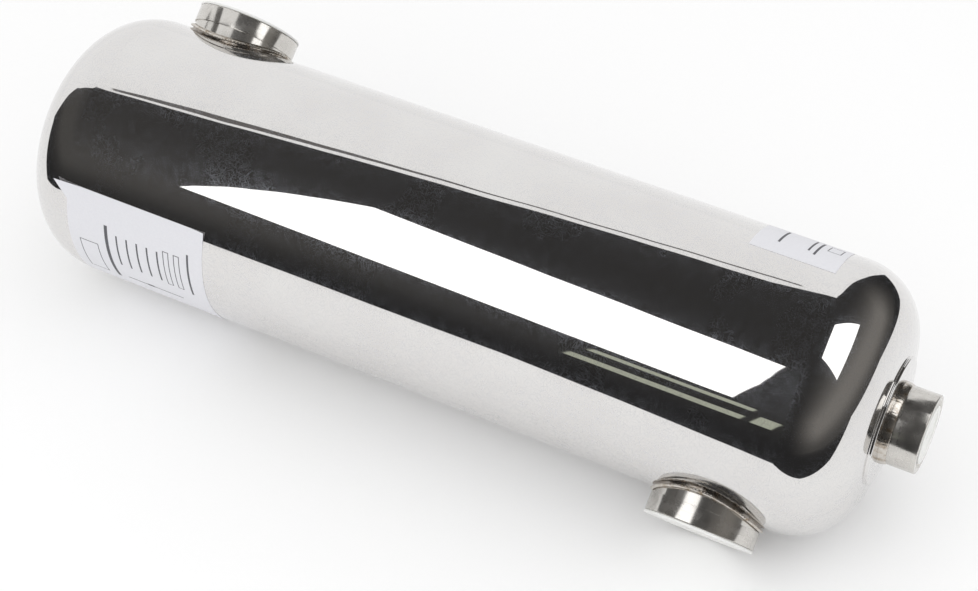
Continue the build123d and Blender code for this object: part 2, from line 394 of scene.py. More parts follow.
def moulded_polyethylene(settings):
    """Polyethylene, injection moulded: waxy white, softly glossy, with faint orange peel from the mould."""
    material, tree = new_material("polyethylene_moulded")
    place = body_place(tree)
    cloud = solid_noise(tree, place, 9 * MM, 3)
    peel = solid_noise(tree, place, 0.7 * MM, 2)
    shader = add_node(
        tree, "ShaderNodeBsdfPrincipled",
        {
            "Base Color": toned(tree, cloud, settings.plastic, settings.plastic_shade),
            "Roughness": ranged(tree, cloud, 0.36, 0.5), "IOR": 1.51,
            "Normal": bumped(tree, peel, 0.2, 0.03 * MM),
            "Subsurface Weight": 0.15, "Subsurface Radius": (1, 1, 0.9), "Subsurface Scale": 1.5 * MM,
        },
    )
    finish_material(tree, shader.outputs[0])
    return material


def sticker_paper(settings):
    """Coated label paper: white, satin, with faint fibres and cockles."""
    material, tree = new_material("label_paper_coated")
    place = body_place(tree)
    fibres = solid_noise(tree, place, 1.2 * MM, 4, distortion=1)
    cockles = solid_noise(tree, place, 14 * MM, 1)
    shader = add_node(
        tree, "ShaderNodeBsdfPrincipled",
        {
            "Base Color": toned(tree, fibres, settings.paper, settings.paper_shade),
            "Roughness": ranged(tree, fibres, 0.4, 0.6), "IOR": 1.5,
            "Normal": bumped(tree, cockles, 0.3, 0.4 * MM),
        },
    )
    finish_material(tree, shader.outputs[0])
    return material


def printed_ink(settings):
    """Thermal print on the label: a dull grey-black that lets a little of the paper's grain through."""
    material, tree = new_material("label_ink_thermal")
    grain = solid_noise(tree, body_place(tree), 0.5 * MM, 2)
    faded = tuple(min(1, 1.9 * c) for c in settings.ink)
    tone = toned(tree, grain, settings.ink, faded)
    shader = add_node(tree, "ShaderNodeBsdfPrincipled", {"Base Color": tone, "Roughness": 0.6, "IOR": 1.5})
    finish_material(tree, shader.outputs[0])
    return material


def mill_stainless():
    """Stainless tube and sheet as it left the mill: grey and dull, seen only when the shell is opened."""
    material, tree = new_material("stainless_mill_finish")
    scale = solid_noise(tree, body_place(tree), 4 * MM, 4)
    finish_material(tree, metal(tree, (*linear("#C4C3BF"), 1), ranged(tree, scale, 0.3, 0.45)))
    return material


# Meshes


def add_piece(name, points, faces, materials, skin=None, normals=None, sharp=math.radians(40)):
    """Makes a smooth mesh object. skin holds a flat place for each corner, normals one for each point."""
    mesh = bpy.data.meshes.new(name)
    mesh.from_pydata([tuple(p) for p in points], [], [tuple(f) for f in faces])
    mesh.update()
    for material in materials:
        mesh.materials.append(material)
    if skin is not None:
        layer = mesh.uv_layers.new(name=SKIN_MAP)
        layer.uv.foreach_set("vector", np.asarray(skin, np.float32).ravel())
    mesh.shade_smooth()
    if normals is not None:
        mesh.normals_split_custom_set_from_vertices([tuple(n) for n in normals])
    else:
        mesh.set_sharp_from_angle(angle=sharp)
    piece = bpy.data.objects.new(name, mesh)
    bpy.context.scene.collection.objects.link(piece)
    return piece


def stand_for(piece, node):
    """The piece rides on the body and hides the CAD node."""
    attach(piece, BODY)
    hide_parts(node)


def thickened(points, normals, faces, skin, wall):
    """A sheet made into a closed solid: its inner face lies a wall under it, and rims join the edges."""
    count = len(points)
    all_points = np.concatenate([points, points - normals * wall])
    all_normals = np.concatenate([normals, -normals])
    all_faces = [tuple(f) for f in faces]
    all_skin = list(skin)
    edges = {}
    for face, places in zip(faces, skin):
        for here in range(len(face)):
            after = (here + 1) % len(face)
            edges[(face[here], face[after])] = (places[here], places[after])
        all_faces.append(tuple(count + v for v in reversed(face)))
        all_skin.append(list(reversed(places)))
    for (a, b), (place_a, place_b) in edges.items():
        if (b, a) not in edges:
            all_faces.append((b, a, count + a, count + b))
            all_skin.append([place_b, place_a, place_a, place_b])
    return all_points, all_normals, all_faces, all_skin


def flat_skin(skin):
    """The corners' places of all faces in one list."""
    return [place for places in skin for place in places]


def rounded(corners, segments=5):
    """A profile whose corners are rounded. corners holds (radius, height, rounding)."""
    line = []
    for index, (radius, height, rounding) in enumerate(corners):
        corner = Vector((radius, height))
        if rounding == 0:
            line.append(corner)
            continue
        before = (Vector(corners[index - 1][:2]) - corner).normalized()
        after = (Vector(corners[(index + 1) % len(corners)][:2]) - corner).normalized()
        half = before.angle(after) / 2
        centre = corner + (before + after).normalized() * (rounding / math.sin(half))
        start = corner + before * (rounding / math.tan(half)) - centre
        end = corner + after * (rounding / math.tan(half)) - centre
        for step in range(segments + 1):
            share = step / segments
            arm = (start * (1 - share) + end * share).normalized() * rounding
            line.append(centre + arm)
    return [tuple(point) for point in line]


def axes_about(way):
    """Two directions square to an axis and to each other, the first along the shell or else upwards."""
    first = ALONG if abs(way.x) < 0.5 else Vector((0, 0, 1))
    return first, way.cross(first)


def turned(line, foot, way, steps, closed, height_at=None):
    """A profile of (radius, height) turned about an axis: points, faces and skin places by turn and length.

    height_at, where it is given, says how high a point of the profile is at an angle.
    """
    first, second = axes_about(way)
    lengths = np.concatenate([[0], np.cumsum([math.dist(a, b) for a, b in zip(line, line[1:])])])
    points, rings = [], []
    for radius, height in line:
        turns = 1 if radius < 1e-9 else steps
        rings.append(range(len(points), len(points) + turns))
        for turn in range(turns):
            angle = 2 * math.pi * turn / steps
            rise = height_at(radius, height, angle) if height_at else height
            points.append(foot + way * rise + (first * math.cos(angle) + second * math.sin(angle)) * radius)
    widest = max(radius for radius, _ in line)
    arc = 2 * math.pi * widest / steps
    faces, skin = [], []
    pairs = [(i, i + 1) for i in range(len(line) - 1)] + ([(len(line) - 1, 0)] if closed else [])
    for low, high in pairs:
        low_length = lengths[low]
        high_length = lengths[high] if high > low else low_length + math.dist(line[low], line[high])
        for turn in range(steps):
            after = (turn + 1) % steps
            corners = [
                (rings[low][turn % len(rings[low])], turn, low_length),
                (rings[low][after % len(rings[low])], turn + 1, low_length),
                (rings[high][after % len(rings[high])], turn + 1, high_length),
                (rings[high][turn % len(rings[high])], turn, high_length),
            ]
            kept = [c for i, c in enumerate(corners) if c[0] != corners[i - 1][0]]
            faces.append(tuple(c[0] for c in kept))
            skin.append([(c[1] * arc, c[2]) for c in kept])
    return points, faces, skin


def sheet_wave(point, settings):
    """How far the buffed sheet stands off its true surface at a point."""
    place = Vector(point) / settings.wave_length
    return settings.wave_height * (noise.noise(place) + 0.35 * noise.noise(place * 2.3 + ALONG * 7))


def wavy(points, normals, settings, step=1 * MM):
    """The points moved by the sheet's waves, and the normals leaned to match."""
    moved, leaned = np.array(points, float), np.array(normals, float)
    for index, (point, normal) in enumerate(zip(points, normals)):
        here = sheet_wave(point, settings)
        slope = np.array([sheet_wave(point + step * axis, settings) - here for axis in np.eye(3)]) / step
        slope -= normal * (slope @ normal)
        moved[index] = point + normal * here
        leaned[index] = normal - slope
    return moved, leaned / np.linalg.norm(leaned, axis=1)[:, None]


class Barrel:
    """The barrel's outer sheet: a grid over the cylinder, with a neck pulled out for each side port."""

    patch_arc = 40 * MM
    patch_inner_reach = 44 * MM
    patch_along, patch_round = 38, 40
    middle_along, middle_round = 60, 56
    patch_rings, flare_rings, neck_rings = 10, 8, 3

    def __init__(self, settings):
        self.settings = settings
        self.points, self.normals, self.flats, self.faces = [], [], [], []
        self.start = math.atan2(SIDE_PORTS[0].way.z, SIDE_PORTS[0].way.y)
        half = self.patch_arc / SHELL_RADIUS
        ends = [-half, half, math.pi - half, math.pi + half]
        rounds = [
            np.linspace(ends[0], ends[1], self.patch_round + 1)[:-1],
            np.linspace(ends[1], ends[2], self.middle_round + 1)[:-1],
            np.linspace(ends[2], ends[3], self.patch_round + 1)[:-1],
            np.linspace(ends[3], ends[0] + 2 * math.pi, self.middle_round + 1)[:-1],
        ]
        self.angles = np.concatenate(rounds)
        inner = min(abs(port.place) for port in SIDE_PORTS) - self.patch_inner_reach
        self.places = np.concatenate([
            np.linspace(-BARREL_HALF, -inner, self.patch_along + 1)[:-1],
            np.linspace(-inner, inner, self.middle_along + 1)[:-1],
            np.linspace(inner, BARREL_HALF, self.patch_along + 1),
        ])
        self.add_cylinder()
        for index, port in enumerate(SIDE_PORTS):
            self.add_neck(port, index)

    def add_point(self, point, normal, flat):
        self.points.append(point)
        self.normals.append(normal)
        self.flats.append(flat)
        return len(self.points) - 1

    def on_cylinder(self, x, turn):
        """A point of the cylinder, with its normal and its place on the unrolled sheet."""
        angle = self.start + turn
        normal = np.array([0, math.cos(angle), math.sin(angle)])
        return self.add_point(
            np.array(SHELL_CENTRE) + [x, 0, 0] + SHELL_RADIUS * normal, normal, (x, turn * SHELL_RADIUS)
        )

    def in_patch(self, row, column):
        """Whether a cell of the grid belongs to a side port's patch."""
        rear = row < self.patch_along and column < self.patch_round
        far = self.patch_round + self.middle_round
        front = row >= self.patch_along + self.middle_along and far <= column < far + self.patch_round
        return rear or front

    def add_cylinder(self):
        rows, columns = len(self.places), len(self.angles)
        inside = np.zeros((rows, columns), bool)
        for row in range(1, rows - 1):
            for column in range(columns):
                around = [(row - a, (column - b) % columns) for a in (0, 1) for b in (0, 1)]
                inside[row, column] = all(self.in_patch(*cell) for cell in around)
        self.grid = -np.ones((rows, columns), int)
        for row in range(rows):
            for column in range(columns):
                if not inside[row, column]:
                    self.grid[row, column] = self.on_cylinder(self.places[row], self.angles[column])
        for row in range(rows - 1):
            for column in range(columns):
                if not self.in_patch(row, column):
                    after = (column + 1) % columns
                    self.faces.append((
                        self.grid[row, column], self.grid[row, after],
                        self.grid[row + 1, after], self.grid[row + 1, column],
                    ))

    def patch_edge(self, index):
        """The grid's points round a side port's patch, in order about the port: (row, column) pairs."""
        first_row = 0 if index == 0 else self.patch_along + self.middle_along
        first_column = 0 if index == 0 else self.patch_round + self.middle_round
        last_row, last_column = first_row + self.patch_along, first_column + self.patch_round
        edge = [(last_row, c) for c in range(first_column, last_column)]
        edge += [(r, last_column) for r in range(last_row, first_row, -1)]
        edge += [(first_row, c) for c in range(last_column, first_column, -1)]
        edge += [(r, first_column) for r in range(first_row, last_row)]
        return edge

    def add_neck(self, port, index):
        flare = self.settings.neck_flare
        neck_radius = port.radius - bpy.context.scene.exchanger_ports.foot_relief
        ball = neck_radius + flare
        axes = np.array([ALONG, ALONG.cross(port.way), port.way])
        origin = np.array(port.foot)
        middle_turn = 0 if index == 0 else math.pi
        edge = self.patch_edge(index)
        rings = [[self.grid[row, column % len(self.angles)] for row, column in edge]]
        ring_count = self.patch_rings + self.flare_rings + self.neck_rings
        rings += [[] for _ in range(ring_count)]
        for row, column in edge:
            along = self.places[row] - port.place
            turn = self.angles[column % len(self.angles)]
            arc = (turn - middle_turn) * SHELL_RADIUS
            bearing = math.atan2(arc, along)
            side, ahead = ball * math.sin(bearing), ball * math.cos(bearing)
            rise = math.sqrt((SHELL_RADIUS + flare) ** 2 - side**2)
            centre = np.array([ahead, side, rise])
            shrink = SHELL_RADIUS / (SHELL_RADIUS + flare)
            foot_along, foot_arc = ahead, SHELL_RADIUS * math.atan2(side, rise)
            for ring in range(1, self.patch_rings + 1):
                share = (ring / self.patch_rings) ** 0.8
                x = along + (foot_along - along) * share
                s = arc + (foot_arc - arc) * share
                rings[ring].append(self.on_cylinder(port.place + x, middle_turn + s / SHELL_RADIUS))
            to_shell = np.array([0, side, rise]) * shrink - [0, side, rise]
            to_neck = np.array([-math.cos(bearing), -math.sin(bearing), 0])
            to_shell /= np.linalg.norm(to_shell)
            between = math.acos(float(to_shell @ to_neck))
            neck_foot = centre + flare * to_neck
            steps = []
            for share in np.linspace(0, 1, self.flare_rings + 1)[1:]:
                arm = to_shell * math.sin((1 - share) * between) + to_neck * math.sin(share * between)
                arm /= math.sin(between)
                steps.append((centre + flare * arm, -arm, flare * between * share))
            for share in np.linspace(0, 1, self.neck_rings + 1)[1:]:
                rise_on = (port.height_at(neck_radius, port.base, bearing) - neck_foot[2]) * share
                steps.append((neck_foot + [0, 0, rise_on], -to_neck, flare * between + rise_on))
            for ring, (local, normal, climbed) in enumerate(steps, self.patch_rings + 1):
                shrunk = 1 - climbed / ball
                flat = (port.place + foot_along * shrunk, middle_turn * SHELL_RADIUS + foot_arc * shrunk)
                rings[ring].append(self.add_point(origin + local @ axes, normal @ axes, flat))
        for outer, inner in zip(rings, rings[1:]):
            for here in range(len(edge)):
                after = (here + 1) % len(edge)
                self.faces.append((outer[after], outer[here], inner[here], inner[after]))

    def skin(self):
        """Each face's places on the unrolled sheet, kept together where the sheet's seam crosses a face."""
        whole = 2 * math.pi * SHELL_RADIUS
        places = []
        for face in self.faces:
            flats = [self.flats[v] for v in face]
            highest = max(flat[1] for flat in flats)
            places.append([(u, v + whole if highest - v > whole / 2 else v) for u, v in flats])
        return places


class EXCHANGER_OT_shell(bpy.types.Operator):
    """Builds the polished barrel and the two pressed heads"""

    bl_idname = "exchanger.shell"
    bl_label = "Shell"

    head_turns, knuckle_steps, crown_steps = 256, 44, 6
    land_fillet = 0.5 * MM
    crown_gap = 0.7 * MM

    def execute(self, context):
        settings = context.scene.exchanger_shell
        steel = polished_stainless(settings)
        barrel = Barrel(settings)
        points, normals = wavy(np.array(barrel.points), np.array(barrel.normals), settings)
        faces, skin = barrel.faces, barrel.skin()
        points, normals, faces, skin = thickened(points, normals, faces, skin, settings.wall)
        piece = add_piece("barrel_sheet", points, faces, [steel], flat_skin(skin), normals)
        stand_for(piece, "shell_barrel")
        for side, way in (("left", -ALONG), ("right", ALONG)):
            self.add_head(settings, steel, side, way)
        return {"FINISHED"}

    def head_line(self, settings, inset, hole):
        """A head's profile under its outer face by an inset, from the barrel's edge to the port's hole."""
        knuckle, crown = settings.knuckle_radius, settings.crown_radius
        bend = SHELL_RADIUS - knuckle
        crown_centre = BARREL_HALF - math.sqrt((crown - knuckle) ** 2 - bend**2)
        last = math.atan2(BARREL_HALF - crown_centre, bend)
        line = []
        for angle in np.linspace(0, last, self.knuckle_steps):
            line.append((
                bend + (knuckle - inset) * math.cos(angle), BARREL_HALF + (knuckle - inset) * math.sin(angle)
            ))
        edge = settings.land_radius - inset
        for radius in np.linspace(line[-1][0], edge + self.crown_gap, self.crown_steps)[1:]:
            line.append((radius, crown_centre + math.sqrt((crown - inset) ** 2 - radius**2)))
        foot = crown_centre + math.sqrt((crown - inset) ** 2 - edge**2)
        top = LAND_HEIGHT - inset
        fillet = self.land_fillet if inset == 0 else 0
        corner_round = settings.land_round if inset == 0 else 0
        step = rounded([
            (*line[-1], 0), (edge, foot, fillet), (edge, top, corner_round), (hole, top, 0)
        ])
        return line + step[1:]

    def add_head(self, settings, steel, side, way):
        port = next(p for p in PORTS if p.name == f"{side}_end_port")
        hole = port.radius - bpy.context.scene.exchanger_ports.end_wall
        outer = self.head_line(settings, 0, hole)
        inner = self.head_line(settings, settings.wall, hole)
        points, faces, skin = turned(outer + inner[::-1], SHELL_CENTRE, way, self.head_turns, closed=True)
        whole = sum(math.dist(a, b) for a, b in zip(outer, outer[1:])) + hole
        widest = max(radius for radius, _ in outer)
        polar = []
        for place in flat_skin(skin):
            angle, reach = place[0] / widest, whole - place[1]
            polar.append((reach * math.cos(angle), reach * math.sin(angle)))
        moved = []
        for point in points:
            out = Vector(point) - SHELL_CENTRE
            out.x = max(0.0, abs(out.x) - BARREL_HALF) * math.copysign(1, out.x)
            moved.append(point + out.normalized() * sheet_wave(point, settings))
        piece = add_piece(f"{side}_head_sheet", moved, faces, [steel], polar)
        stand_for(piece, f"{side}_head")


class EXCHANGER_OT_ports(bpy.types.Operator):
    """Builds the four turned sockets and their weld beads"""

    bl_idname = "exchanger.ports"
    bl_label = "Ports"

    socket_turns, ripple_turns, bead_rows = 192, 7, 13
    step_round, rim_round, thread_round = 0.1 * MM, 0.25 * MM, 0.3 * MM
    bead_row_width = 0.3 * MM

    def execute(self, context):
        settings = context.scene.exchanger_ports
        steel, weld = turned_stainless(settings), welded_stainless(settings)
        for port in PORTS:
            self.add_socket(settings, steel, port)
            self.add_bead(settings, weld, port)
        return {"FINISHED"}

    def add_socket(self, settings, steel, port):
        wall = settings.end_wall if port.on_head else settings.side_wall
        bore, radius = port.radius - wall, port.radius
        if port.on_head:
            toe, foot_radius = port.base + settings.land_bead_height, radius - settings.toe_groove
            step = toe + 4 * settings.toe_groove
        else:
            toe, foot_radius = port.base + settings.neck_bead_height, radius - settings.foot_relief
            step = port.wall_foot
        seat = foot_radius - settings.bead_depth
        line = rounded([
            (bore, port.base, 0),
            (seat, port.base, 0),
            (seat, toe, 0),
            (foot_radius, toe, 0),
            (foot_radius, step, 0),
            (radius, step, self.step_round),
            (radius, port.mouth, settings.mouth_round),
            (bore + settings.mouth_chamfer, port.mouth, self.rim_round),
            (bore, port.mouth - settings.mouth_chamfer, self.thread_round),
        ], segments=6)
        points, faces, skin = turned(line, port.foot, port.way, self.socket_turns, True, port.height_at)
        piece = add_piece(f"{port.name}_socket", points, faces, [steel], flat_skin(skin))
        stand_for(piece, port.name)

    def bead_line(self, settings, port):
        """The bead's face as an arc of (radius, height), and the corner points under it."""
        base = port.base
        if port.on_head:
            radius, top_height = port.radius, base + settings.land_bead_height
            toe = Vector((radius + settings.land_bead_foot, base))
            bulge = 0.3 * settings.land_bead_foot
            under = [(radius - settings.bead_depth, base)]
        else:
            radius, top_height = port.radius - settings.foot_relief, base + settings.neck_bead_height
            toe = Vector((radius, base - settings.neck_bead_foot))
            bulge = settings.neck_bead_bulge
            under = [(radius, base), (radius - settings.bead_depth, base)]
        top = Vector((radius, top_height))
        under.append((radius - settings.bead_depth, top_height))
        out = Vector(((top - toe).y, -(top - toe).x)).normalized()
        face = []
        for share in np.linspace(0, 1, self.bead_rows):
            face.append((top.lerp(toe, share), out, (4 * share * (1 - share)) ** 0.7 * bulge, share))
        return face, under

    def add_bead(self, settings, weld, port):
        face, under = self.bead_line(settings, port)
        ripples = round(2 * math.pi * port.radius / settings.ripple_pitch)
        ripple_height = settings.land_ripple if port.on_head else settings.neck_ripple
        steps = ripples * self.ripple_turns
        first, second = axes_about(port.way)
        points, count = [], len(face) + len(under)
        for turn in range(steps):
            angle = 2 * math.pi * turn / steps
            outward = first * math.cos(angle) + second * math.sin(angle)
            wander = noise.noise(outward * 9 + Vector((0, 0, 3 * port.foot.x)))
            for place, out, bulge, share in face:
                lag = 1.3 * (share - 0.5) ** 2
                phase = ripples * angle / (2 * math.pi) + 0.35 * wander - lag
                crest = abs(math.sin(math.pi * phase)) ** 0.7
                fade = math.sin(math.pi * share) ** 0.5
                lift = bulge * (1 + 0.12 * wander) + ripple_height * (crest - 0.6) * fade
                spot = place + out * lift
                rise = port.height_at(spot.x, spot.y, angle)
                points.append(port.foot + outward * spot.x + port.way * rise)
            for radius, height in under:
                rise = port.height_at(radius, height, angle)
                points.append(port.foot + outward * radius + port.way * rise)
        faces, skin = [], []
        arc, row = 2 * math.pi * port.radius / steps, self.bead_row_width
        for turn in range(steps):
            after = (turn + 1) % steps
            for place in range(count):
                beyond = (place + 1) % count
                faces.append((
                    turn * count + place, turn * count + beyond,
                    after * count + beyond, after * count + place,
                ))
                skin += [
                    (turn * arc, place * row), (turn * arc, (place + 1) * row),
                    ((turn + 1) * arc, (place + 1) * row), ((turn + 1) * arc, place * row),
                ]
        piece = add_piece(f"{port.name}_bead", points, faces, [weld], skin, sharp=math.radians(75))
        stand_for(piece, f"{port.name}_weld")


class EXCHANGER_OT_caps(bpy.types.Operator):
    """Builds the four push-in caps"""

    bl_idname = "exchanger.caps"
    bl_label = "Caps"

    cap_turns = 160
    plug_round, recess_draft = 0.5 * MM, 0.4 * MM
    # The mould's gate leaves a small raised mark in the middle
    gate_radius, gate_draft, gate_height = 2.2 * MM, 0.4 * MM, 0.35 * MM
    gate_fillet, gate_round = 0.2 * MM, 0.1 * MM

    def execute(self, context):
        settings = context.scene.exchanger_caps
        plastic = moulded_polyethylene(settings)
        sockets = context.scene.exchanger_ports
        for port in PORTS:
            wall = sockets.end_wall if port.on_head else sockets.side_wall
            plug = port.radius - wall - settings.plug_clearance
            inner = plug - settings.rim
            face, low = port.cap_face, port.mouth - settings.plug_depth
            edge = settings.flange_round
            line = [(0, low, 0), (plug, low, self.plug_round)]
            if port.on_head:
                line += [(plug, face, edge)]
            else:
                flange = port.radius + settings.overhang
                line += [(plug, port.mouth, 0), (flange, port.mouth, edge), (flange, face, edge)]
            recess = face - settings.recess
            gate = recess + self.gate_height
            line += [
                (inner, face, edge),
                (inner - self.recess_draft, recess, edge),
                (self.gate_radius, recess, self.gate_fillet),
                (self.gate_radius - self.gate_draft, gate, self.gate_round),
                (0, gate, 0),
            ]
            points, faces, skin = turned(rounded(line), port.foot, port.way, self.cap_turns, closed=False)
            piece = add_piece(f"{port.name}_plug", points, faces, [plastic], flat_skin(skin))
            stand_for(piece, f"{port.name}_cap")
        return {"FINISHED"}


class Sticker:
    """A paper sticker on the barrel, with plain printed rules.

    Places are millimetres along the shell and round it, from the level of its axis upwards.
    """

    def __init__(self, left, right, low, high, rules, boxes, line):
        self.left, self.right, self.low, self.high = left, right, low, high
        self.cells = [(x0, x1, y0, y1) for x0, x1, y0, y1 in rules]
        for x0, x1, y0, y1 in boxes:
            self.cells += [
                (x0, x1, y0, y0 + line), (x0, x1, y1 - line, y1),
                (x0, x0 + line, y0, y1), (x1 - line, x1, y0, y1),
            ]

    def cuts(self, low, high, edges, step):
        """Places from low to high about a step apart, with every printed edge among them."""
        marks = sorted({low, high, *(e for e in edges if low < e < high)})
        places = []
        for a, b in zip(marks, marks[1:]):
            places += list(np.linspace(a, b, max(1, math.ceil((b - a) / step)) + 1)[:-1])
        return places + [high]

    def inked(self, x, y):
        """Whether a spot lies on a printed rule."""
        return any(x0 < x < x1 and y0 < y < y1 for x0, x1, y0, y1 in self.cells)


class EXCHANGER_OT_stickers(bpy.types.Operator):
    """Lays the two paper stickers on the barrel"""

    bl_idname = "exchanger.stickers"
    bl_label = "Stickers"

    def execute(self, context):
        settings = context.scene.exchanger_stickers
        materials = [sticker_paper(settings), printed_ink(settings)]
        rows = [(-164.6 + 6.2 * i, -163.6 + 6.2 * i, -12.2, 9.6) for i in range(5)]
        main = Sticker(
            -194, -112, -72, 31,
            rules=[(-171.4, -169.4, -28, 14), *rows, (-121.4, -120.2, -15, 15), (-164, -130, -25.4, -24.6),
                   (-152, -148, -26, -24)],
            boxes=[(-188, -176.6, -27, -1.4), (-135.8, -132.2, -13.4, 11.6), (-129.4, -125.8, -13.4, 11.6)],
            line=0.5,
        )
        small = Sticker(
            146, 189.5, 126, 160.5,
            rules=[(156.6, 157.8, 137, 158), (171.2, 172.2, 138.5, 158), (174.6, 175.8, 136, 158)],
            boxes=[(179, 186, 146, 156)],
            line=0.5,
        )
        self.add_sticker(settings, materials, "main_sticker", main, loose=True)
        self.add_sticker(settings, materials, "small_sticker", small, loose=False)
        return {"FINISHED"}

    def add_sticker(self, settings, materials, name, sticker, loose):
        xs = sticker.cuts(sticker.left, sticker.right, [e for c in sticker.cells for e in c[:2]], 2.0)
        ys = sticker.cuts(sticker.low, sticker.high, [e for c in sticker.cells for e in c[2:]], 1.5)
        points, normals, places = [], [], []
        for x in xs:
            for y in ys:
                along, lift = x * MM, settings.thickness
                if loose:
                    along, lift = self.loosened(settings, sticker, x, y)
                angle = y * MM / SHELL_RADIUS
                normal = np.array([0, -math.cos(angle), math.sin(angle)])
                points.append(np.array(SHELL_CENTRE) + [along, 0, 0] + (SHELL_RADIUS + lift) * normal)
                normals.append(normal)
                places.append((x * MM, y * MM))
        faces, skin, inks = [], [], []
        for i in range(len(xs) - 1):
            for j in range(len(ys) - 1):
                a = i * len(ys) + j
                face = (a, a + len(ys), a + len(ys) + 1, a + 1)
                faces.append(face)
                skin.append([places[v] for v in face])
                inks.append(sticker.inked((xs[i] + xs[i + 1]) / 2, (ys[j] + ys[j + 1]) / 2))
        solid = thickened(np.array(points), np.array(normals), faces, skin, settings.thickness)
        piece = add_piece(name, solid[0], solid[2], materials, flat_skin(solid[3]), sharp=math.radians(50))
        for index, inked in enumerate(inks):
            if inked:
                piece.data.polygons[index].material_index = 1
        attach(piece, BODY)

    def loosened(self, settings, sticker, x, y):
        """The main sticker's loose corners: the top left one stands out, the top right one curls."""
        along, lift = x * MM, settings.thickness
        drop, inward = sticker.high - y, x - sticker.left
        if drop < 9 and inward < 8:
            pull = (1 - drop / 9) * (1 - inward / 8)
            along -= settings.corner_reach * pull
            lift += settings.corner_curl * pull
        outward = sticker.right - x
        if drop < 8 and outward < 9:
            lift += 0.8 * MM * ((1 - drop / 8) * (1 - outward / 9)) ** 1.5
        return along, lift


class EXCHANGER_OT_bundle(bpy.types.Operator):
    """Gives the tubes, tube sheets and baffles inside the shell their mill finish"""

    bl_idname = "exchanger.bundle"
    bl_label = "Tube bundle"

    def execute(self, context):
        mill = mill_stainless()
        for name, node in frame["nodes"].items():
            if name == "tube_bundle" or name.endswith(("_tube_sheet", "_baffle")):
                node.data.materials.clear()
                node.data.materials.append(mill)
        return {"FINISHED"}


